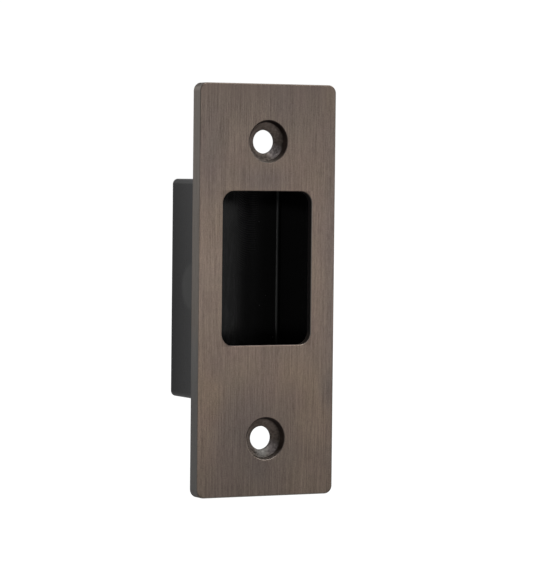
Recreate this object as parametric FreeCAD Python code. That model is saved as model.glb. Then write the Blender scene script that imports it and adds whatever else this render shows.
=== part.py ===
import FreeCAD, Part
import math
import os

from FreeCAD import Vector

# Sliding door edge pull: a flat plate screwed into the door's edge, with a finger cup behind it.
# All sizes are millimetres. Z is up, X runs across the door's edge and +Y goes into the door.
# The origin is midway between the two screw holes, on the back face of the plate.

# Finger opening in the plate
window_width = 18.0
window_height = 28.0
window_corner_radius = 2.25
window_edge_break = 0.12

# The pocket behind the opening is larger than it all round, and the deep step below is the finger hook
side_undercut = 1.15
top_undercut = 0.9
hook_undercut = 8.9
pocket_corner_radius = 1.0
pocket_floor_round = 0.6

# Finger cup, a block milled out from the front
cup_wall = 1.2
cup_floor = 1.4
cup_reach = 14.0
cup_corner_radius = 1.0
cup_back_round = 0.5
cup_rim_lead_in = 0.2
cup_fit_gap = 0.05

# Face plate
plate_thickness = 3.0
plate_side_land = 2.45
plate_corner_radius = 1.5
plate_front_round = 0.25
plate_back_break = 0.25
lip_thickness = 1.5

# Screw holes: a steep entry, a conical head seat, the through hole and a broken edge at the back
cup_end_to_screw = 6.9
screw_to_plate_end = 10.5
screw_hole_diameter = 4.3
sink_mouth_diameter = 7.75
sink_seat_diameter = 7.0
sink_entry_depth = 1.05
sink_seat_angle = 110.0
sink_edge_break = 0.1
screw_hole_back_break = 0.4

# Sizes that follow from the ones above
pocket_width = window_width + 2 * side_undercut
pocket_height = window_height + top_undercut + hook_undercut
window_rise = (hook_undercut - top_undercut) / 2
cup_width = pocket_width + 2 * cup_wall
cup_height = pocket_height + 2 * cup_wall
screw_spacing = cup_height + 2 * cup_end_to_screw
plate_width = cup_width + 2 * plate_side_land
plate_height = screw_spacing + 2 * screw_to_plate_end
rebate_depth = plate_thickness - lip_thickness

# Planes square to Y
back_y = 0.0
front_y = back_y - plate_thickness
cup_rim_y = back_y - rebate_depth
cup_end_y = back_y + cup_reach
pocket_floor_y = cup_end_y - cup_floor

# How far a cutter runs past the face that it opens
overrun = 1.0


def rounded_rectangle(width, height, radius, y, centre_z=0.0):
    """Face in the plane Y = y, centred on X = 0: four corner arcs joined by four straight sides."""
    reach_x = width / 2 - radius
    reach_z = height / 2 - radius
    corner_signs = [(1, 1), (-1, 1), (-1, -1), (1, -1)]
    corners = []
    for quarter, (sign_x, sign_z) in enumerate(corner_signs):
        points = []
        for turn in (0, 45, 90):
            angle = math.radians(90 * quarter + turn)
            x = sign_x * reach_x + radius * math.cos(angle)
            z = sign_z * reach_z + radius * math.sin(angle)
            points.append(Vector(x, y, centre_z + z))
        corners.append(points)
    edges = []
    for corner, following in zip(corners, corners[1:] + corners[:1]):
        edges.append(Part.Arc(*corner).toShape())
        edges.append(Part.LineSegment(corner[-1], following[0]).toShape())
    return Part.Face(Part.Wire(edges))


def rounded_block(width, height, radius, start_y, end_y, centre_z=0.0):
    """Block with rounded upright corners that runs along Y from start_y to end_y."""
    outline = rounded_rectangle(width, height, radius, start_y, centre_z)
    return outline.extrude(Vector(0, end_y - start_y, 0))


def edges_in_plane(solid, y):
    """All edges of a solid that lie in the plane Y = y."""
    tolerance = 1e-6
    found = []
    for edge in solid.Edges:
        box = edge.BoundBox
        if abs(box.YMin - y) < tolerance and abs(box.YMax - y) < tolerance:
            found.append(edge)
    return found


def round_end(solid, y, radius):
    """Rounds every edge in the plane Y = y."""
    return solid.makeFillet(radius, edges_in_plane(solid, y))


def bevel_end(solid, y, size):
    """Cuts an even 45 degree bevel along every edge in the plane Y = y."""
    return solid.makeChamfer(size, edges_in_plane(solid, y))


def flared_mouth(width, height, radius, y, size, centre_z):
    """Cutter that bevels the mouth of a straight-sided opening in the front face at Y = y."""
    wide = rounded_rectangle(width + 2 * size, height + 2 * size, radius + size, y, centre_z)
    narrow = rounded_rectangle(width, height, radius, y + size, centre_z)
    return Part.makeLoft([wide.OuterWire, narrow.OuterWire], True, True)


def screw_hole(centre_z):
    """Cutter for one screw hole, from the front face to the back face, on an axis along Y."""
    into = Vector(0, 1, 0)
    hole_radius = screw_hole_diameter / 2
    mouth_radius = sink_mouth_diameter / 2
    seat_radius = sink_seat_diameter / 2
    seat_depth = (seat_radius - hole_radius) / math.tan(math.radians(sink_seat_angle / 2))

    def at(y):
        return Vector(0, y, centre_z)

    through_length = plate_thickness + 2 * overrun
    through = Part.makeCylinder(hole_radius, through_length, at(front_y - overrun), into)
    edge = Part.makeCone(mouth_radius + sink_edge_break, mouth_radius, sink_edge_break, at(front_y), into)
    entry = Part.makeCone(mouth_radius, seat_radius, sink_entry_depth, at(front_y), into)
    seat = Part.makeCone(seat_radius, hole_radius, seat_depth, at(front_y + sink_entry_depth), into)
    back_start_y = back_y - screw_hole_back_break
    back_radius = hole_radius + screw_hole_back_break
    back = Part.makeCone(hole_radius, back_radius, screw_hole_back_break, at(back_start_y), into)
    return through.multiFuse([edge, entry, seat, back])


def make_face_plate():
    """Flat plate with the finger opening, the rebate for the cup's rim and two countersunk screw holes."""
    plate = rounded_block(plate_width, plate_height, plate_corner_radius, front_y, back_y)
    plate = round_end(plate, front_y, plate_front_round)
    plate = bevel_end(plate, back_y, plate_back_break)

    opening = rounded_block(
        window_width, window_height, window_corner_radius, front_y - overrun, back_y + overrun, window_rise)
    mouth = flared_mouth(
        window_width, window_height, window_corner_radius, front_y, window_edge_break, window_rise)
    rebate = rounded_block(
        cup_width + 2 * cup_fit_gap, cup_height + 2 * cup_fit_gap, cup_corner_radius + cup_fit_gap,
        cup_rim_y, back_y + overrun)
    upper_hole = screw_hole(screw_spacing / 2)
    lower_hole = screw_hole(-screw_spacing / 2)
    for cutter in (opening, mouth, rebate, upper_hole, lower_hole):
        plate = plate.cut(cutter)
    return plate


def make_finger_cup():
    """Cup milled from one block: its rim sits in the plate's rebate and its floor is closed."""
    cup = rounded_block(cup_width, cup_height, cup_corner_radius, cup_rim_y, cup_end_y)
    cup = round_end(cup, cup_end_y, cup_back_round)
    cup = bevel_end(cup, cup_rim_y, cup_rim_lead_in)

    pocket = rounded_block(
        pocket_width, pocket_height, pocket_corner_radius, cup_rim_y - overrun, pocket_floor_y)
    pocket = round_end(pocket, pocket_floor_y, pocket_floor_round)
    return cup.cut(pocket)


def save(name, shape):
    """Writes one sub-part as parts/NAME.step and prints what it holds."""
    if not shape.isValid() or len(shape.Solids) != 1:
        raise RuntimeError(name + " is not one valid solid")
    solid = shape.Solids[0]
    solid.exportStep("parts/" + name + ".step")
    print(name, "volume", round(solid.Volume, 2), "mm3, faces", len(solid.Faces), solid.BoundBox)


os.makedirs("parts", exist_ok=True)
save("face_plate", make_face_plate())
save("finger_cup", make_finger_cup())
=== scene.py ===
import math

import bpy
import numpy as np
from mathutils import Matrix, Vector


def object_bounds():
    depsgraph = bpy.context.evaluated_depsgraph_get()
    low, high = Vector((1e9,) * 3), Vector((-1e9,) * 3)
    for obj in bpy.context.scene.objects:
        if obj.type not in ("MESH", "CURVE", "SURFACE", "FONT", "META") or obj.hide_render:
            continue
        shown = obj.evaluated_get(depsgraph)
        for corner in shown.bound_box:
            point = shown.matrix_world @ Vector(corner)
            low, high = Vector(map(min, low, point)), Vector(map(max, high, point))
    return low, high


# Sliding door edge pull: a brushed dark bronze plate with a black anodised finger cup behind it.
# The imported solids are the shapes. This script gives them their finishes, and adds floor, light and camera.
# Lengths are metres in the row frame: Z up along the plate, +Y into the door.

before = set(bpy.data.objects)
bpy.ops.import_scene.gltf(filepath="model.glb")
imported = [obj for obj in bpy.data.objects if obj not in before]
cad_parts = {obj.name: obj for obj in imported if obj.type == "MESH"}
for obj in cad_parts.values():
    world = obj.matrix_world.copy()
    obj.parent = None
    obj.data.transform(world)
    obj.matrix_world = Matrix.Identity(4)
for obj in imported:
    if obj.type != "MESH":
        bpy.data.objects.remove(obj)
cad_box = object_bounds()

MM = 0.001
PHOTO_LONG_SIDE = 563

# Places on the part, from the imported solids
PLATE_FRONT_Y = -3.0 * MM
PLATE_HALF_HEIGHT = 37.5 * MM
HOLE_HEIGHT = 27.0 * MM
SEAT_RADIUS = 3.5 * MM
MOUTH_RADIUS = 4.0 * MM
WINDOW_HALF_WIDTH = 9.0 * MM
WINDOW_HALF_HEIGHT = 14.0 * MM
WINDOW_RISE = 4.0 * MM
POCKET_HALF_WIDTH = 10.15 * MM
POCKET_HALF_HEIGHT = 18.9 * MM
POCKET_FLOOR_Y = 12.6 * MM

# Brush strokes of the plate: width and length in mm, and the share of each kind. Belt grit leaves scratches
# about 0.05 mm wide; they are drawn 0.2 mm wide or more so that they show.
STROKES = (
    (0.2, 1.3, 0.21),
    (0.2, 8.0, 0.33),
    (0.25, 26.0, 0.1),
    (0.2, 0.22, 0.27),
    (0.7, 18.0, 0.09),
)

# Broad patches where the plate's coat came out darker or paler, with one tall band of painted shade along
# the right edge: place across and up, half width and half height, all in mm, and how much it darkens.
# A minus sign makes it paler.
COAT_AND_SHADE_PATCHES = (
    (-4, -25, 8.5, 11, 0.16),
    (-1, 20, 8.5, 4, 0.19),
    (-11.5, 25, 5.5, 14, 0.14),
    # Painted shade: a tall band darkening the plate towards its right edge
    (14.5, 4, 5, 40, 0.18),
    (-13.5, -24, 5, 20, -0.15),
    (6, -15.5, 6.5, 6.5, -0.12),
    (9.9, -24.4, 6.2, 11.6, -0.175),
    (9, -35.5, 8.5, 7, -0.22),
    (-1.5, -32.5, 3.5, 4.5, 0.12),
    (12.8, 36, 3, 8, -0.1),
    (2.5, 33.5, 4.5, 7, 0.08),
    (-10.5, -19.5, 3.5, 6, -0.15),
    (13, -18.5, 3.5, 5.5, 0.16),
)

# End mill that cut the pocket: its radius, how far its two lanes lie from the middle, and its feed per turn.
# The real feed is about 0.37 mm; it is drawn 0.42 mm so that the arcs show.
CUTTER_RADIUS = 5.0 * MM
CUTTER_LANE = 4.6 * MM
CUTTER_FEED = 0.42 * MM


# Small tools

def linear(code):
    """Opaque colour from an sRGB hex code: each channel is turned linear by the standard two-part curve."""
    channels = [int(code[i:i + 2], 16) / 255 for i in (1, 3, 5)]
    return tuple(c / 12.92 if c <= 0.04045 else ((c + 0.055) / 1.055) ** 2.4 for c in channels) + (1.0,)


def add(tree, kind, sockets=None, out=0, **settings):
    """Adds one node with its settings, gives each socket its value or link, and returns the node's output.

    Sockets are named or numbered. A Mix node has its factor at 0. It mixes the numbers at 2 and 3, which
    come out at 0, or the colours at 6 and 7, which come out at 2.
    """
    node = tree.nodes.new(kind)
    for name, value in settings.items():
        setattr(node, name, value)
    for key, value in (sockets or {}).items():
        if isinstance(value, bpy.types.NodeSocket):
            tree.links.new(value, node.inputs[key])
        else:
            node.inputs[key].default_value = value
    return node.outputs[out] if node.outputs else node


def new_material(name):
    """Empty node material."""
    material = bpy.data.materials.new(name)
    material.use_nodes = True
    material.node_tree.nodes.clear()
    return material


# Plate's finish, part by part. Each function adds its nodes and returns the value or colour they give.

def brushed_hairlines(tree, place, z):
    """Value from 0 to 1: noises drawn out upright, one for each kind of stroke, added by their shares.

    They are fainter near the plate's top end.
    """
    hairlines = 0.0
    for width, length, share in STROKES:
        scale = (1 / (width * MM), 1 / (width * MM), 1 / (length * MM))
        drawn_out = add(tree, "ShaderNodeMapping", {"Vector": place, "Scale": scale})
        strokes = add(tree, "ShaderNodeTexNoise", {"Vector": drawn_out, "Scale": 1.0, "Detail": 1.0,
                                                   "Roughness": 0.5})
        strokes = add(tree, "ShaderNodeMath", {0: strokes, 1: share}, operation="MULTIPLY")
        hairlines = add(tree, "ShaderNodeMath", {0: hairlines, 1: strokes}, operation="ADD")
    hairlines = add(tree, "ShaderNodeMapRange", {"Value": hairlines, "From Min": 0.34, "From Max": 0.66})
    fainter = add(tree, "ShaderNodeMapRange", {"Value": z, "From Min": PLATE_HALF_HEIGHT - 4 * MM,
                                               "From Max": PLATE_HALF_HEIGHT - 1.5 * MM, "To Max": 0.45})
    return add(tree, "ShaderNodeMix", {0: fainter, 2: hairlines, 3: 0.5}, data_type="FLOAT")


def coat_and_shade_tones(tree, place):
    """Value about 1 that scales the coat's colour: faint clouds about 9 mm wide, times the broad patches.

    A patch is strongest in its middle and ends in a smooth step at its half width and half height.
    """
    tones = add(tree, "ShaderNodeTexNoise", {"Vector": place, "Scale": 1 / (9 * MM), "Detail": 2.0})
    tones = add(tree, "ShaderNodeMapRange", {"Value": tones, "From Min": 0.3, "From Max": 0.7,
                                             "To Min": 0.97, "To Max": 1.03})
    for centre_x, centre_z, half_width, half_height, darker in COAT_AND_SHADE_PATCHES:
        offset = add(tree, "ShaderNodeMapping", {"Vector": place,
                                                 "Location": (-centre_x * MM, 0, -centre_z * MM)})
        per_half_size = (1 / (half_width * MM), 0, 1 / (half_height * MM))
        offset = add(tree, "ShaderNodeVectorMath", {0: offset, 1: per_half_size}, operation="MULTIPLY")
        offset = add(tree, "ShaderNodeVectorMath", {0: offset}, out="Value", operation="LENGTH")
        patch = add(tree, "ShaderNodeMapRange", {"Value": offset, "From Min": 0.0, "From Max": 1.0,
                                                 "To Min": 1 - darker, "To Max": 1.0},
                    interpolation_type="SMOOTHSTEP")
        tones = add(tree, "ShaderNodeMath", {0: tones, 1: patch}, operation="MULTIPLY")
    return tones


def bronze_coat(tree, place, z, hairlines):
    """Coat's colour: dark between the hairlines and pale on them, and a little greyer towards both ends.

    Its hue wanders between pink and green in clouds of 5 mm. It is pinker and greyer where the coat is
    darker, and yellower where it is paler.
    """
    tones = coat_and_shade_tones(tree, place)
    from_middle = add(tree, "ShaderNodeMath", {0: z}, operation="ABSOLUTE")
    towards_ends = add(tree, "ShaderNodeMapRange", {"Value": from_middle, "From Min": 16 * MM,
                                                    "From Max": 34 * MM}, interpolation_type="SMOOTHSTEP")
    dark = add(tree, "ShaderNodeMix", {0: towards_ends, 6: linear("#6B5E57"), 7: linear("#665A54")}, out=2,
               data_type="RGBA")
    pale = add(tree, "ShaderNodeMix", {0: towards_ends, 6: linear("#98877B"), 7: linear("#998A80")}, out=2,
               data_type="RGBA")
    coat = add(tree, "ShaderNodeMix", {0: hairlines, 6: dark, 7: pale}, out=2, data_type="RGBA")
    coat = add(tree, "ShaderNodeVectorMath", {0: coat, "Scale": tones}, operation="SCALE")

    clouds = add(tree, "ShaderNodeTexNoise", {"Vector": place, "Scale": 1 / (5 * MM), "Detail": 3.0,
                                              "Roughness": 0.6})
    clouds = add(tree, "ShaderNodeMapRange", {"Value": clouds, "From Min": 0.3, "From Max": 0.7,
                                              "To Min": 0.495, "To Max": 0.509})
    yellower = add(tree, "ShaderNodeMapRange", {"Value": tones, "From Min": 0.84, "From Max": 1.12,
                                                "To Min": -0.007, "To Max": 0.006})
    hue = add(tree, "ShaderNodeMath", {0: clouds, 1: yellower}, operation="ADD")
    saturation = add(tree, "ShaderNodeMapRange", {"Value": tones, "From Min": 0.84, "From Max": 1.12,
                                                  "To Min": 0.84, "To Max": 1.15})
    return add(tree, "ShaderNodeHueSaturation", {"Hue": hue, "Saturation": saturation, "Color": coat})


def side_coat(tree, z, hairlines):
    """Colour of the left and right sides: thinner coat, so the steel's grey comes through.

    They are greyer on their lower half, and darker the lower they go, which is painted shade.
    """
    coat = add(tree, "ShaderNodeMix", {0: hairlines, 6: linear("#958D86"), 7: linear("#B2A9A1")}, out=2,
               data_type="RGBA")
    colourful = add(tree, "ShaderNodeMapRange", {"Value": z, "From Min": -11.5 * MM, "From Max": -6 * MM,
                                                 "To Min": 0.42, "To Max": 1.0})
    coat = add(tree, "ShaderNodeHueSaturation", {"Saturation": colourful, "Color": coat})
    # Painted shade: darker lower down and lighter higher up, as under light from above
    painted_side_shade = add(tree, "ShaderNodeMapRange", {"Value": z, "From Min": -24 * MM, "From Max": 6 * MM,
                                                "To Min": 0.79, "To Max": 1.17},
                   interpolation_type="SMOOTHSTEP")
    return add(tree, "ShaderNodeVectorMath", {0: coat, "Scale": painted_side_shade}, operation="SCALE")


def edges_with_painted_light(tree, z, normal_x, side, colour):
    """Colour with painted light on the plate's rounded edges: a painted highlight at the bottom, and painted
    shade at the top and on the left.

    The painted shade on the left edge is faint along most of its length, and darker beside the upper hole.
    """
    # Painted highlight on the bottom edge
    painted_highlight_bottom = add(tree, "ShaderNodeMapRange", {"Value": z, "From Min": -PLATE_HALF_HEIGHT + 0.25 * MM,
                                                   "From Max": -PLATE_HALF_HEIGHT + 0.1 * MM})
    colour = add(tree, "ShaderNodeMix", {0: painted_highlight_bottom, 6: colour, 7: linear("#C4BBB3")}, out=2,
                 data_type="RGBA")
    not_side = add(tree, "ShaderNodeMath", {0: 1.0, 1: side}, operation="SUBTRACT")
    # Painted shade on the top edge
    painted_shade_top = add(tree, "ShaderNodeMapRange", {"Value": z, "From Min": PLATE_HALF_HEIGHT - 0.25 * MM,
                                                "From Max": PLATE_HALF_HEIGHT - 0.15 * MM})
    painted_shade_top = add(tree, "ShaderNodeMath", {0: painted_shade_top, 1: not_side}, operation="MULTIPLY")
    colour = add(tree, "ShaderNodeMix", {0: painted_shade_top, 6: colour, 7: linear("#645A52")}, out=2,
                 data_type="RGBA")
    # Painted shade along the left edge, darker beside the upper hole
    facing_left = add(tree, "ShaderNodeMath", {0: normal_x, 1: -1.0}, operation="MULTIPLY")
    off_front = add(tree, "ShaderNodeMapRange", {"Value": facing_left, "From Min": 0.2, "From Max": 0.4})
    off_side = add(tree, "ShaderNodeMapRange", {"Value": facing_left, "From Min": 0.9, "From Max": 0.75})
    painted_shade_left = add(tree, "ShaderNodeMath", {0: off_front, 1: off_side}, operation="MULTIPLY")
    upper_part = add(tree, "ShaderNodeMapRange", {"Value": z, "From Min": 22 * MM, "From Max": 30 * MM,
                                                  "To Min": 0.1, "To Max": 0.45})
    painted_shade_left = add(tree, "ShaderNodeMath", {0: painted_shade_left, 1: upper_part}, operation="MULTIPLY")
    return add(tree, "ShaderNodeMix", {0: painted_shade_left, 6: colour, 7: linear("#4A3F39")}, out=2,
               data_type="RGBA")


def window_edge_with_painted_light(tree, place, x, z, normal_y, colour):
    """Colour with the window's inner edge in a painted reflection of the black cup behind it.

    The distance from the window is the larger of |x| - half width and |z - rise| - half height. The bevel
    round the window is in painted shade, with a painted highlight down its right side. The lower right
    corner differs: its inner edge has a painted highlight, and its bevel painted shade.
    """
    corner_x = 8.8 * MM
    corner_z = -9.6 * MM

    aside = add(tree, "ShaderNodeMath", {0: x}, operation="ABSOLUTE")
    aside = add(tree, "ShaderNodeMath", {0: aside, 1: WINDOW_HALF_WIDTH}, operation="SUBTRACT")
    above = add(tree, "ShaderNodeMath", {0: z, 1: WINDOW_RISE}, operation="SUBTRACT")
    above = add(tree, "ShaderNodeMath", {0: above}, operation="ABSOLUTE")
    above = add(tree, "ShaderNodeMath", {0: above, 1: WINDOW_HALF_HEIGHT}, operation="SUBTRACT")
    from_window = add(tree, "ShaderNodeMath", {0: aside, 1: above}, operation="MAXIMUM")
    to_corner = add(tree, "ShaderNodeMapping", {"Vector": place, "Location": (-corner_x, 0, -corner_z),
                                                "Scale": (1, 0, 1)})
    to_corner = add(tree, "ShaderNodeVectorMath", {0: to_corner}, out="Value", operation="LENGTH")
    at_corner = add(tree, "ShaderNodeMapRange", {"Value": to_corner, "From Min": 2.2 * MM,
                                                 "From Max": 0.9 * MM})

    # Painted reflection of the black cup on the inner edge, and a painted highlight at the lower right corner
    painted_inner_edge = add(tree, "ShaderNodeMapRange", {"Value": from_window, "From Min": 0.06 * MM,
                                                  "From Max": 0.01 * MM})
    flat_on = add(tree, "ShaderNodeMath", {0: normal_y}, operation="ABSOLUTE")
    edge_on = add(tree, "ShaderNodeMapRange", {"Value": flat_on, "From Min": 0.96, "From Max": 0.45},
                  interpolation_type="SMOOTHSTEP")
    painted_inner_edge = add(tree, "ShaderNodeMath", {0: painted_inner_edge, 1: edge_on}, operation="MULTIPLY")
    painted_edge_tone = add(tree, "ShaderNodeMix", {0: at_corner, 6: linear("#666362"), 7: linear("#A1958B")}, out=2,
                    data_type="RGBA")
    colour = add(tree, "ShaderNodeMix", {0: painted_inner_edge, 6: colour, 7: painted_edge_tone}, out=2, data_type="RGBA")

    # Painted shade on the bevel, with a painted highlight down its right side
    painted_right_tone = add(tree, "ShaderNodeMix", {0: at_corner, 2: 1.3, 3: 0.82}, data_type="FLOAT")
    painted_bevel_tone = add(tree, "ShaderNodeMapRange", {"Value": x, "From Min": WINDOW_HALF_WIDTH - 0.4 * MM,
                                                  "From Max": WINDOW_HALF_WIDTH, "To Min": 0.82,
                                                  "To Max": painted_right_tone})
    bevel = add(tree, "ShaderNodeMapRange", {"Value": from_window, "From Min": 0.13 * MM,
                                             "From Max": 0.1 * MM, "To Min": 1.0, "To Max": painted_bevel_tone})
    return add(tree, "ShaderNodeVectorMath", {0: colour, "Scale": bevel}, operation="SCALE")


def screw_seats_with_painted_light(tree, place, x, y, z):
    """Where the two screw seats are, from 0 to 1, and their colour, which is mostly painted light and shade.

    Places in a seat go by radius and height from the axis of the nearer hole. The conical seat is dull
    brown, mottled in spots of about half a millimetre, with painted light up and to the left, and a grey
    spot low on the right that is wear and a painted highlight. Round it stand the steep entry wall, in
    painted shade, and then the lip.
    """
    upper_left = (-0.5, 0.87, 0.0)
    lower_left = (-0.35, -0.94, 0.0)
    left = (-0.84, -0.54, 0.0)
    right = (0.92, 0.38, 0.0)
    down = (0.3, -0.95, 0.0)
    wear_and_highlight_spot = (2.0 * MM, -1.8 * MM, 0.0)
    pale_spot = (0.0, -2.2 * MM, 0.0)

    nearer_axis = add(tree, "ShaderNodeMath", {0: z}, operation="SIGN")
    nearer_axis = add(tree, "ShaderNodeMath", {0: nearer_axis, 1: HOLE_HEIGHT}, operation="MULTIPLY")
    height = add(tree, "ShaderNodeMath", {0: z, 1: nearer_axis}, operation="SUBTRACT")
    around = add(tree, "ShaderNodeCombineXYZ", {0: x, 1: height})
    radius = add(tree, "ShaderNodeVectorMath", {0: around}, out="Value", operation="LENGTH")
    lower_hole = add(tree, "ShaderNodeMath", {0: z, 1: 0.0}, operation="LESS_THAN")
    within = add(tree, "ShaderNodeMapRange", {"Value": radius, "From Min": MOUTH_RADIUS,
                                              "From Max": MOUTH_RADIUS - 0.03 * MM})
    behind_front = add(tree, "ShaderNodeMapRange", {"Value": y, "From Min": PLATE_FRONT_Y + 0.01 * MM,
                                                    "From Max": PLATE_FRONT_Y + 0.04 * MM})
    seat = add(tree, "ShaderNodeMath", {0: within, 1: behind_front}, operation="MULTIPLY")

    # Mottled brown, with painted light towards the upper left and painted shade away from it
    mottle = add(tree, "ShaderNodeTexNoise", {"Vector": place, "Scale": 1 / (0.45 * MM), "Detail": 2.0,
                                              "Roughness": 0.6})
    mottle = add(tree, "ShaderNodeMapRange", {"Value": mottle, "From Min": 0.32, "From Max": 0.65})
    seat_shaded_tone = add(tree, "ShaderNodeMix", {0: mottle, 6: linear("#3B3531"), 7: linear("#5E5650")}, out=2,
                data_type="RGBA")
    seat_lit_tone = add(tree, "ShaderNodeMix", {0: mottle, 6: linear("#8A7C74"), 7: linear("#A89A91")}, out=2,
               data_type="RGBA")
    painted_light_upper_left = add(tree, "ShaderNodeVectorMath", {0: around, 1: upper_left}, out="Value",
                        operation="DOT_PRODUCT")
    painted_light_upper_left = add(tree, "ShaderNodeMapRange", {"Value": painted_light_upper_left, "From Min": -2.2 * MM,
                                                     "From Max": 2.4 * MM})
    colour = add(tree, "ShaderNodeMix", {0: painted_light_upper_left, 6: seat_shaded_tone, 7: seat_lit_tone}, out=2, data_type="RGBA")

    # Grey spot of wear, also a painted highlight. Painted shade lower down, less so in the lower hole, which
    # has a painted highlight straight below.
    wear_and_highlight = add(tree, "ShaderNodeVectorMath", {0: around, 1: wear_and_highlight_spot}, out="Value", operation="DISTANCE")
    wear_and_highlight = add(tree, "ShaderNodeMapRange", {"Value": wear_and_highlight, "From Min": 1.9 * MM, "From Max": 0.6 * MM},
               interpolation_type="SMOOTHSTEP")
    wear_and_highlight_tone = add(tree, "ShaderNodeMix", {0: mottle, 6: linear("#605A58"), 7: linear("#8B8381")}, out=2,
                    data_type="RGBA")
    colour = add(tree, "ShaderNodeMix", {0: wear_and_highlight, 6: colour, 7: wear_and_highlight_tone}, out=2, data_type="RGBA")
    painted_shade_low_tone = add(tree, "ShaderNodeMix", {0: lower_hole, 2: 0.6, 3: 0.85}, data_type="FLOAT")
    painted_shade_downwards = add(tree, "ShaderNodeMapRange", {"Value": height, "From Min": -1.6 * MM,
                                                 "From Max": -2.8 * MM, "To Min": 1.0, "To Max": painted_shade_low_tone})
    colour = add(tree, "ShaderNodeVectorMath", {0: colour, "Scale": painted_shade_downwards}, operation="SCALE")
    paler = add(tree, "ShaderNodeVectorMath", {0: around, 1: pale_spot}, out="Value", operation="DISTANCE")
    paler = add(tree, "ShaderNodeMapRange", {"Value": paler, "From Min": 2.0 * MM, "From Max": 0.6 * MM},
                interpolation_type="SMOOTHSTEP")
    paler = add(tree, "ShaderNodeMath", {0: paler, 1: lower_hole}, operation="MULTIPLY")
    paler_tone = add(tree, "ShaderNodeMix", {0: mottle, 6: linear("#43413F"), 7: linear("#5D5B58")}, out=2,
                     data_type="RGBA")
    colour = add(tree, "ShaderNodeMix", {0: paler, 6: colour, 7: paler_tone}, out=2, data_type="RGBA")

    # Painted shade towards the rim on the right. Low in the lower hole: painted light inside, painted shade
    # outside.
    rightwards = add(tree, "ShaderNodeVectorMath", {0: around, 1: right}, out="Value",
                     operation="DOT_PRODUCT")
    painted_right_tone = add(tree, "ShaderNodeMapRange", {"Value": rightwards, "From Min": 1.5 * MM,
                                                  "From Max": 3.0 * MM, "To Min": 1.0, "To Max": 0.4})
    painted_shade_to_rim = add(tree, "ShaderNodeMapRange", {"Value": radius, "From Min": 3.05 * MM,
                                              "From Max": SEAT_RADIUS, "To Min": 1.0, "To Max": painted_right_tone})
    colour = add(tree, "ShaderNodeVectorMath", {0: colour, "Scale": painted_shade_to_rim}, operation="SCALE")
    low_part = add(tree, "ShaderNodeMapRange", {"Value": height, "From Min": -0.8 * MM,
                                                "From Max": -1.8 * MM})
    low_part = add(tree, "ShaderNodeMath", {0: low_part, 1: lower_hole}, operation="MULTIPLY")
    inner_tone = add(tree, "ShaderNodeMix", {0: low_part, 2: 1.0, 3: 1.5}, data_type="FLOAT")
    outer_tone = add(tree, "ShaderNodeMix", {0: low_part, 2: 1.0, 3: 0.65}, data_type="FLOAT")
    painted_light_outwards = add(tree, "ShaderNodeMapRange", {"Value": radius, "From Min": 2.3 * MM, "From Max": 3.4 * MM,
                                                "To Min": inner_tone, "To Max": outer_tone})
    colour = add(tree, "ShaderNodeVectorMath", {0: colour, "Scale": painted_light_outwards}, operation="SCALE")

    # Entry wall: painted shade, with painted light at the lower left, and bare metal with a painted highlight
    # straight down in the lower hole. Lip: brown, painted shade.
    painted_light_lower_left = add(tree, "ShaderNodeVectorMath", {0: around, 1: lower_left}, out="Value",
                        operation="DOT_PRODUCT")
    painted_light_lower_left = add(tree, "ShaderNodeMapRange", {"Value": painted_light_lower_left, "From Min": 0.5 * MM,
                                                     "From Max": 2.6 * MM})
    bare_and_highlight = add(tree, "ShaderNodeVectorMath", {0: around, 1: down}, out="Value", operation="DOT_PRODUCT")
    bare_and_highlight = add(tree, "ShaderNodeMapRange", {"Value": bare_and_highlight, "From Min": 2.7 * MM, "From Max": 3.4 * MM})
    bare_and_highlight = add(tree, "ShaderNodeMath", {0: bare_and_highlight, 1: lower_hole}, operation="MULTIPLY")
    painted_entry_tone = add(tree, "ShaderNodeMix", {0: bare_and_highlight, 6: linear("#82786F"), 7: linear("#C4BAB1")}, out=2,
                     data_type="RGBA")
    painted_entry_tone = add(tree, "ShaderNodeMix", {0: painted_light_lower_left, 6: linear("#453C38"), 7: painted_entry_tone}, out=2,
                     data_type="RGBA")
    lip = add(tree, "ShaderNodeMapRange", {"Value": radius, "From Min": MOUTH_RADIUS - 0.14 * MM,
                                           "From Max": MOUTH_RADIUS - 0.1 * MM})
    painted_entry_tone = add(tree, "ShaderNodeMix", {0: lip, 6: painted_entry_tone, 7: linear("#5E544E")}, out=2,
                     data_type="RGBA")
    entry = add(tree, "ShaderNodeMapRange", {"Value": radius, "From Min": SEAT_RADIUS - 0.03 * MM,
                                             "From Max": SEAT_RADIUS + 0.07 * MM})
    colour = add(tree, "ShaderNodeMix", {0: entry, 6: colour, 7: painted_entry_tone}, out=2, data_type="RGBA")

    # Painted light towards the rim on the left, most of all in the lower hole
    painted_light_leftwards = add(tree, "ShaderNodeVectorMath", {0: around, 1: left}, out="Value",
                    operation="DOT_PRODUCT")
    painted_left_tone = add(tree, "ShaderNodeMix", {0: lower_hole, 2: 1.5, 3: 2.0}, data_type="FLOAT")
    painted_light_leftwards = add(tree, "ShaderNodeMapRange", {"Value": painted_light_leftwards, "From Min": 2.6 * MM,
                                                 "From Max": 3.5 * MM, "To Min": 1.0, "To Max": painted_left_tone})
    colour = add(tree, "ShaderNodeVectorMath", {0: colour, "Scale": painted_light_leftwards}, operation="SCALE")
    return seat, colour


# Steel plate, belt brushed upright, with a thin dark bronze coat. To the eye: dark brown metal with fine
# upright hairlines, soft broad reflections and a cloudy tone, greyer on its sides, and dull and mottled in
# the screw seats, with worn and bare spots on their lower side that are also painted highlights. Painted
# light and shade lie on its rounded edges, sides, window edge and screw seats.

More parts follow.
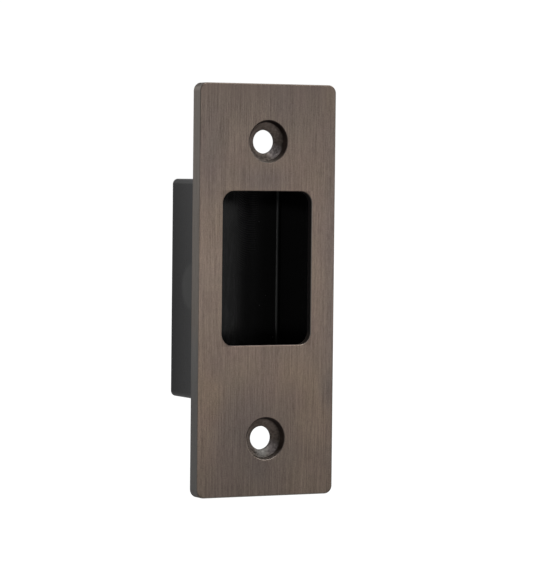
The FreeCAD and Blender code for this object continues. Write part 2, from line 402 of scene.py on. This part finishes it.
def bronze_coated_brushed_steel():
    material = new_material("bronze_coated_brushed_steel")
    tree = material.node_tree
    place = add(tree, "ShaderNodeTexCoord", out="Object")
    normal = place.node.outputs["Normal"]
    normal_x, normal_y, _ = add(tree, "ShaderNodeSeparateXYZ", {0: normal}).node.outputs
    x, y, z = add(tree, "ShaderNodeSeparateXYZ", {0: place}).node.outputs

    hairlines = brushed_hairlines(tree, place, z)
    sideways = add(tree, "ShaderNodeMath", {0: normal_x}, operation="ABSOLUTE")
    side = add(tree, "ShaderNodeMapRange", {"Value": sideways, "From Min": 0.28, "From Max": 0.89},
               interpolation_type="SMOOTHSTEP")
    front = bronze_coat(tree, place, z, hairlines)
    colour = add(tree, "ShaderNodeMix", {0: side, 6: front, 7: side_coat(tree, z, hairlines)}, out=2,
                 data_type="RGBA")
    # Painted light and shade on the rounded edges, the window's edge and the screw seats
    colour = edges_with_painted_light(tree, z, normal_x, side, colour)
    colour = window_edge_with_painted_light(tree, place, x, z, normal_y, colour)
    seat, seat_colour = screw_seats_with_painted_light(tree, place, x, y, z)
    colour = add(tree, "ShaderNodeMix", {0: seat, 6: colour, 7: seat_colour}, out=2, data_type="RGBA")

    roughness = add(tree, "ShaderNodeMapRange", {"Value": hairlines, "To Min": 0.42, "To Max": 0.34})
    roughness = add(tree, "ShaderNodeMix", {0: seat, 2: roughness, 3: 0.45}, data_type="FLOAT")
    relief = add(tree, "ShaderNodeBump", {"Height": hairlines, "Strength": 1.0, "Distance": 0.002 * MM})
    along = add(tree, "ShaderNodeTangent", direction_type="RADIAL", axis="Z")
    metal = add(tree, "ShaderNodeBsdfPrincipled", {"Metallic": 1.0, "Base Color": colour,
                                                   "Roughness": roughness, "Anisotropic": 0.6,
                                                   "Tangent": along, "Normal": relief})
    add(tree, "ShaderNodeOutputMaterial", {"Surface": metal})
    return material


# Cup's finish, part by part

def cutter_arcs(tree, place, aside, z, pocket_floor):
    """Height of the cutter's arcs on the pocket's floor, which is 0 at the foot of each arc.

    The cutter ran down two lanes and left an arc at each step of its feed, the lower half of its circle:
    z + sqrt(radius^2 - across^2) is the same all along one arc, and a zigzag of it makes the ridges. They
    are deeper high up and uneven in spots of 3 mm. They end short of the side walls and of the middle,
    and are steeper towards the middle.
    """
    across = add(tree, "ShaderNodeMath", {0: aside, 1: CUTTER_LANE}, operation="SUBTRACT")
    squared = add(tree, "ShaderNodeMath", {0: across, 1: across}, operation="MULTIPLY")
    squared = add(tree, "ShaderNodeMath", {0: CUTTER_RADIUS ** 2, 1: squared}, operation="SUBTRACT")
    squared = add(tree, "ShaderNodeMath", {0: squared, 1: 0.0}, operation="MAXIMUM")
    arc = add(tree, "ShaderNodeMath", {0: squared}, operation="SQRT")
    steps = add(tree, "ShaderNodeMath", {0: z, 1: arc}, operation="ADD")
    steps = add(tree, "ShaderNodeMath", {0: steps, 1: CUTTER_FEED}, operation="DIVIDE")
    steps = add(tree, "ShaderNodeMath", {0: steps, 1: 0.5}, operation="PINGPONG")
    steps = add(tree, "ShaderNodeMath", {0: steps, 1: 2.0}, operation="MULTIPLY")
    uneven = add(tree, "ShaderNodeTexNoise", {"Vector": place, "Scale": 1 / (3 * MM), "Detail": 2.0})
    uneven = add(tree, "ShaderNodeMapRange", {"Value": uneven, "From Min": 0.2, "From Max": 0.5})
    upper = add(tree, "ShaderNodeMapRange", {"Value": z, "From Min": 2 * MM, "From Max": 11 * MM,
                                             "To Min": 0.3, "To Max": 0.85})
    off_wall = add(tree, "ShaderNodeMapRange", {"Value": across, "From Min": 2.4 * MM,
                                                "From Max": 0.4 * MM})
    off_middle = add(tree, "ShaderNodeMapRange", {"Value": across, "From Min": -4.7 * MM,
                                                  "From Max": -2.2 * MM})
    depth = add(tree, "ShaderNodeMath", {0: upper, 1: uneven}, operation="MULTIPLY")
    depth = add(tree, "ShaderNodeMath", {0: depth, 1: off_wall}, operation="MULTIPLY")
    depth = add(tree, "ShaderNodeMath", {0: depth, 1: off_middle}, operation="MULTIPLY")
    depth = add(tree, "ShaderNodeMath", {0: depth, 1: pocket_floor}, operation="MULTIPLY")
    arcs = add(tree, "ShaderNodeMath", {0: steps, 1: depth}, operation="MULTIPLY")
    steeper = add(tree, "ShaderNodeMapRange", {"Value": across, "From Min": -1.0 * MM,
                                               "From Max": -2.6 * MM, "To Min": 1.0, "To Max": 2.0})
    return add(tree, "ShaderNodeMath", {0: arcs, 1: steeper}, operation="MULTIPLY")


def middle_streaks(tree, place, aside, pocket_floor):
    """Soft upright streaks, from 0 to 1, in the band between the two lanes."""
    scale = (1 / (0.4 * MM), 1 / (0.4 * MM), 1 / (3 * MM))
    drawn_out = add(tree, "ShaderNodeMapping", {"Vector": place, "Scale": scale})
    streaks = add(tree, "ShaderNodeTexNoise", {"Vector": drawn_out, "Scale": 1.0, "Detail": 2.0})
    streaks = add(tree, "ShaderNodeMapRange", {"Value": streaks, "From Min": 0.4, "From Max": 0.82})
    between = add(tree, "ShaderNodeMapRange", {"Value": aside, "From Min": 2.4 * MM, "From Max": 1.0 * MM})
    streaks = add(tree, "ShaderNodeMath", {0: streaks, 1: between}, operation="MULTIPLY")
    return add(tree, "ShaderNodeMath", {0: streaks, 1: pocket_floor}, operation="MULTIPLY")


def dust_specks(tree, place):
    """Single specks about 0.2 mm across, from 0 to 1, in one cell out of five of a 1.5 mm pattern."""
    cells = add(tree, "ShaderNodeTexVoronoi", {"Vector": place, "Scale": 1 / (1.5 * MM)}, out="Distance")
    speck = add(tree, "ShaderNodeMapRange", {"Value": cells, "From Min": 0.09, "From Max": 0.04})
    chosen = add(tree, "ShaderNodeSeparateColor", {0: cells.node.outputs["Color"]})
    chosen = add(tree, "ShaderNodeMath", {0: chosen, 1: 0.2}, operation="LESS_THAN")
    return add(tree, "ShaderNodeMath", {0: speck, 1: chosen}, operation="MULTIPLY")


# Milled aluminium, satin black anodised. To the eye: nearly black with a soft grey sheen, partly painted
# towards the plate, cutter arcs on the pocket's floor, a painted highlight along its corner, some dust,
# and a paler round mark on one side.

def black_anodised_milled_aluminium():
    material = new_material("black_anodised_milled_aluminium")
    tree = material.node_tree
    place = add(tree, "ShaderNodeTexCoord", out="Object")
    x, y, z = add(tree, "ShaderNodeSeparateXYZ", {0: place}).node.outputs
    aside = add(tree, "ShaderNodeMath", {0: x}, operation="ABSOLUTE")
    upright = add(tree, "ShaderNodeMath", {0: z}, operation="ABSOLUTE")

    # Pocket: the surfaces inside, told from the outside by how far they are past the pocket's own box
    past_side = add(tree, "ShaderNodeMath", {0: aside, 1: POCKET_HALF_WIDTH}, operation="SUBTRACT")
    past_end = add(tree, "ShaderNodeMath", {0: upright, 1: POCKET_HALF_HEIGHT}, operation="SUBTRACT")
    past_floor = add(tree, "ShaderNodeMath", {0: y, 1: POCKET_FLOOR_Y}, operation="SUBTRACT")
    past = add(tree, "ShaderNodeMath", {0: past_side, 1: past_end}, operation="MAXIMUM")
    past = add(tree, "ShaderNodeMath", {0: past, 1: past_floor}, operation="MAXIMUM")
    pocket = add(tree, "ShaderNodeMapRange", {"Value": past, "From Min": 0.4 * MM, "From Max": 0.2 * MM})
    outside = add(tree, "ShaderNodeMath", {0: 1.0, 1: pocket}, operation="SUBTRACT")
    pocket_floor = add(tree, "ShaderNodeMapRange", {"Value": past_floor, "From Min": -0.2 * MM,
                                                    "From Max": -0.05 * MM})
    pocket_floor = add(tree, "ShaderNodeMath", {0: pocket_floor, 1: pocket}, operation="MULTIPLY")
    arcs = cutter_arcs(tree, place, aside, z, pocket_floor)
    streaks = middle_streaks(tree, place, aside, pocket_floor)

    # Black dye, uneven in a grain of about a third of a millimetre, and thinner on the cutter's marks
    grain = add(tree, "ShaderNodeTexNoise", {"Vector": place, "Scale": 1 / (0.35 * MM), "Detail": 2.0})
    unevenness = add(tree, "ShaderNodeMapRange", {"Value": pocket, "To Min": 1.0, "To Max": 0.3})
    unevenness = add(tree, "ShaderNodeMath", {0: grain, 1: unevenness}, operation="MULTIPLY")
    colour = add(tree, "ShaderNodeMix", {0: unevenness, 6: linear("#050506"), 7: linear("#1F1F20")}, out=2,
                 data_type="RGBA")
    tool_marks = add(tree, "ShaderNodeMath", {0: arcs, 1: streaks}, operation="ADD")
    colour = add(tree, "ShaderNodeMix", {0: tool_marks, 6: colour, 7: linear("#2C2C2D")}, out=2,
                 data_type="RGBA")

    # Outside: a painted sheen, a little greyer towards the plate, and a paler round mark on the left side
    painted_sheen_near_plate = add(tree, "ShaderNodeMapRange", {"Value": y, "From Min": 12.5 * MM, "From Max": 5.0 * MM})
    painted_sheen_near_plate = add(tree, "ShaderNodeMath", {0: painted_sheen_near_plate, 1: outside}, operation="MULTIPLY")
    colour = add(tree, "ShaderNodeMix", {0: painted_sheen_near_plate, 6: colour, 7: linear("#464647")}, out=2,
                 data_type="RGBA")
    mark_centre = (5.0 * MM, 0.4 * MM, 0.0)
    mark = add(tree, "ShaderNodeCombineXYZ", {0: y, 1: z})
    mark = add(tree, "ShaderNodeVectorMath", {0: mark, 1: mark_centre}, out="Value", operation="DISTANCE")
    mark = add(tree, "ShaderNodeMapRange", {"Value": mark, "From Min": 4.8 * MM, "From Max": 3.4 * MM,
                                            "To Max": 0.7}, interpolation_type="SMOOTHSTEP")
    left_side = add(tree, "ShaderNodeMath", {0: x, 1: 0.0}, operation="LESS_THAN")
    mark = add(tree, "ShaderNodeMath", {0: mark, 1: left_side}, operation="MULTIPLY")
    mark = add(tree, "ShaderNodeMath", {0: mark, 1: outside}, operation="MULTIPLY")
    colour = add(tree, "ShaderNodeMix", {0: mark, 6: colour, 7: linear("#5C5C5B")}, out=2, data_type="RGBA")

    dust = add(tree, "ShaderNodeMath", {0: dust_specks(tree, place), 1: pocket}, operation="MULTIPLY")
    colour = add(tree, "ShaderNodeMix", {0: dust, 6: colour, 7: linear("#464645")}, out=2, data_type="RGBA")

    # Painted highlight along the corner where the cutter's corner ran between the floor and the side walls,
    # palest at its top and fading low down
    corner_side = add(tree, "ShaderNodeMapRange", {"Value": past_side, "From Min": -0.6 * MM,
                                                   "From Max": -0.45 * MM})
    corner_floor = add(tree, "ShaderNodeMapRange", {"Value": past_floor, "From Min": -0.3 * MM,
                                                    "From Max": -0.15 * MM})
    corner = add(tree, "ShaderNodeMath", {0: corner_side, 1: corner_floor}, operation="MULTIPLY")
    corner = add(tree, "ShaderNodeMath", {0: corner, 1: pocket}, operation="MULTIPLY")
    painted_highlight_fading = add(tree, "ShaderNodeMapRange", {"Value": z, "From Min": -11.5 * MM, "From Max": -8.5 * MM,
                                              "To Min": 0.25, "To Max": 1.0})
    corner = add(tree, "ShaderNodeMath", {0: corner, 1: painted_highlight_fading}, operation="MULTIPLY")
    upper_end = add(tree, "ShaderNodeMapRange", {"Value": z, "From Min": 10.6 * MM,
                                                 "From Max": POCKET_HALF_HEIGHT})
    upper_end = add(tree, "ShaderNodeMath", {0: upper_end, 1: upper_end}, operation="MULTIPLY")
    painted_highlight_tone = add(tree, "ShaderNodeMix", {0: upper_end, 6: linear("#383939"), 7: linear("#5D5E5E")}, out=2,
                    data_type="RGBA")
    colour = add(tree, "ShaderNodeMix", {0: corner, 6: colour, 7: painted_highlight_tone}, out=2, data_type="RGBA")
    metallic = add(tree, "ShaderNodeMath", {0: corner, 1: 0.6}, operation="MULTIPLY")

    # Both ends of the pocket's floor fall away a little, where the cutter was lifted: they mirror no light
    lower_end = add(tree, "ShaderNodeMapRange", {"Value": z, "From Min": -4.8 * MM, "From Max": -16.8 * MM})
    lower_end = add(tree, "ShaderNodeMath", {0: lower_end, 1: lower_end}, operation="MULTIPLY")
    ends = add(tree, "ShaderNodeMath", {0: upper_end, 1: lower_end}, operation="ADD")
    ends = add(tree, "ShaderNodeMath", {0: ends, 1: pocket}, operation="MULTIPLY")
    ends = add(tree, "ShaderNodeMath", {0: ends, 1: -1.0}, operation="MULTIPLY")
    run_out = add(tree, "ShaderNodeBump", {"Height": ends, "Strength": 1.0, "Distance": 0.51 * MM})
    relief = add(tree, "ShaderNodeBump", {"Height": arcs, "Strength": 1.0, "Distance": 0.002 * MM,
                                          "Normal": run_out})
    skin = add(tree, "ShaderNodeBump", {"Height": grain, "Strength": 1.0, "Distance": 0.001 * MM,
                                        "Normal": relief})

    # Satin, and duller above the pocket, towards the cup's upper edge
    roughness = add(tree, "ShaderNodeMapRange", {"Value": z, "From Min": POCKET_HALF_HEIGHT,
                                                 "From Max": POCKET_HALF_HEIGHT + 0.4 * MM,
                                                 "To Min": 0.18, "To Max": 0.3})
    cup = add(tree, "ShaderNodeBsdfPrincipled", {"Base Color": colour, "Metallic": metallic,
                                                 "Roughness": roughness, "Normal": skin})
    add(tree, "ShaderNodeOutputMaterial", {"Surface": cup})
    return material


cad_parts["face_plate"].material_slots[0].material = bronze_coated_brushed_steel()
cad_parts["finger_cup"].material_slots[0].material = black_anodised_milled_aluminium()


# Floor

def floor_disc(radius, rings, spokes, height):
    """Flat disc: points at distance radius * u^2 and angle 2 pi v, where u and v run over an even grid."""
    u = np.linspace(0, 1, rings + 1)[1:, None] ** 2 * radius
    v = 2 * np.pi * np.arange(spokes)[None, :] / spokes
    heights = np.full((rings, spokes), height)
    ring_points = np.stack([u * np.cos(v), u * np.sin(v), heights], axis=-1).reshape(-1, 3)
    points = np.vstack([[0.0, 0.0, height], ring_points])
    index = 1 + np.arange(rings * spokes).reshape(rings, spokes)
    following = np.roll(index, -1, axis=1)
    quads = np.stack([index[:-1], index[1:], following[1:], following[:-1]], axis=-1).reshape(-1, 4)
    centre = np.stack([np.zeros(spokes, int), index[0], following[0]], axis=-1)
    mesh = bpy.data.meshes.new("floor")
    mesh.from_pydata(points.tolist(), [], centre.tolist() + quads.tolist())
    made = bpy.data.objects.new("floor", mesh)
    bpy.context.scene.collection.objects.link(made)
    return made


def white_paper(seen, lit):
    """Matt white paper that fades into the white surroundings far from the object.

    seen is how bright its glow is to the camera, and lit how bright it is to everything else.
    """
    material = new_material("matt_white_paper")
    tree = material.node_tree
    place = add(tree, "ShaderNodeTexCoord", out="Object")
    distance = add(tree, "ShaderNodeVectorMath", {0: place}, out="Value", operation="LENGTH")
    by_camera = add(tree, "ShaderNodeLightPath", out="Is Camera Ray")
    strength = add(tree, "ShaderNodeMix", {0: by_camera, 2: lit, 3: seen}, data_type="FLOAT")
    glow = add(tree, "ShaderNodeEmission", {"Color": (1, 1, 1, 1), "Strength": strength})
    paper = add(tree, "ShaderNodeBsdfDiffuse", {"Color": linear("#F6F5F3")})
    amount = add(tree, "ShaderNodeMapRange", {"Value": distance, "From Min": 0.03, "From Max": 0.3,
                                              "To Min": 0.95, "To Max": 1.0},
                 interpolation_type="SMOOTHSTEP")
    both = add(tree, "ShaderNodeMixShader", {0: amount, 1: paper, 2: glow})
    add(tree, "ShaderNodeOutputMaterial", {"Surface": both})
    return material


floor = floor_disc(radius=6.0, rings=24, spokes=64, height=cad_box[0].z)
floor.data.materials.append(white_paper(seen=1.08, lit=0.23))


# Light: a white room seen by the camera, a dimmer one that lights the object, and soft panels round it

def white_room(seen, lit):
    """World that is plain white to the camera and a dimmer grey to everything it lights."""
    world = bpy.data.worlds.new("white_room")
    bpy.context.scene.world = world
    world.use_nodes = True
    tree = world.node_tree
    tree.nodes.clear()
    by_camera = add(tree, "ShaderNodeLightPath", out="Is Camera Ray")
    strength = add(tree, "ShaderNodeMix", {0: by_camera, 2: lit, 3: seen}, data_type="FLOAT")
    background = add(tree, "ShaderNodeBackground", {"Color": (1, 1, 1, 1), "Strength": strength})
    add(tree, "ShaderNodeOutputWorld", {"Surface": background})


def panel(name, place, width, height, brightness):
    """Soft rectangular panel at place, turned to the object.

    Its power grows with its area, so a larger panel is as bright to look at.
    """
    light = bpy.data.lights.new(name, "AREA")
    light.shape = "RECTANGLE"
    light.size = width
    light.size_y = height
    light.energy = brightness * math.pi * width * height
    made = bpy.data.objects.new(name, light)
    made.location = place
    made.rotation_euler = (-Vector(place)).to_track_quat("-Z", "Y").to_euler()
    made.visible_camera = False
    bpy.context.scene.collection.objects.link(made)


white_room(seen=1.02, lit=0.34)
panel("low_front_panel", place=(0.03, -0.31, -0.005), width=0.11, height=0.06, brightness=3.3)
panel("low_right_panel", place=(0.23, -0.21, -0.005), width=0.11, height=0.06, brightness=2.1)
panel("upper_front_panel", place=(0.15, -0.27, 0.115), width=0.12, height=0.06, brightness=1.0)
panel("top_panel", place=(0.2, -0.2, 0.45), width=0.4, height=0.4, brightness=3.7)
panel("left_back_panel", place=(-0.25, 0.5, 0.2), width=0.3, height=0.2, brightness=0.18)
panel("back_panel", place=(0.3, 0.35, 0.5), width=0.5, height=0.4, brightness=1.15)


# Camera fitted to the outline of the plate in the photograph

def fitted_camera(place, yaw, pitch, roll, focal_pixels):
    """Camera from its place and three angles: yaw turns it from +Y to +X, pitch lowers it, roll tilts it."""
    forward = np.array([math.sin(yaw) * math.cos(pitch), math.cos(yaw) * math.cos(pitch), -math.sin(pitch)])
    level = np.array([math.cos(yaw), -math.sin(yaw), 0.0])
    above = np.cross(level, forward)
    right = math.cos(roll) * level + math.sin(roll) * above
    up = -math.sin(roll) * level + math.cos(roll) * above
    data = bpy.data.cameras.new("camera")
    data.sensor_fit = "AUTO"
    data.sensor_width = 36.0
    data.lens = focal_pixels * data.sensor_width / PHOTO_LONG_SIDE
    data.clip_start = 0.05
    data.clip_end = 50.0
    made = bpy.data.objects.new("camera", data)
    rows = [[right[i], up[i], -forward[i], place[i]] for i in range(3)]
    made.matrix_world = Matrix(rows + [[0, 0, 0, 1]])
    bpy.context.scene.collection.objects.link(made)
    bpy.context.scene.camera = made


fitted_camera(place=(-251.982 * MM, -505.823 * MM, 21.595 * MM), yaw=0.464365, pitch=0.0354986,
              roll=0.0104915, focal_pixels=3097.82)
bpy.context.scene.view_settings.view_transform = "Standard"
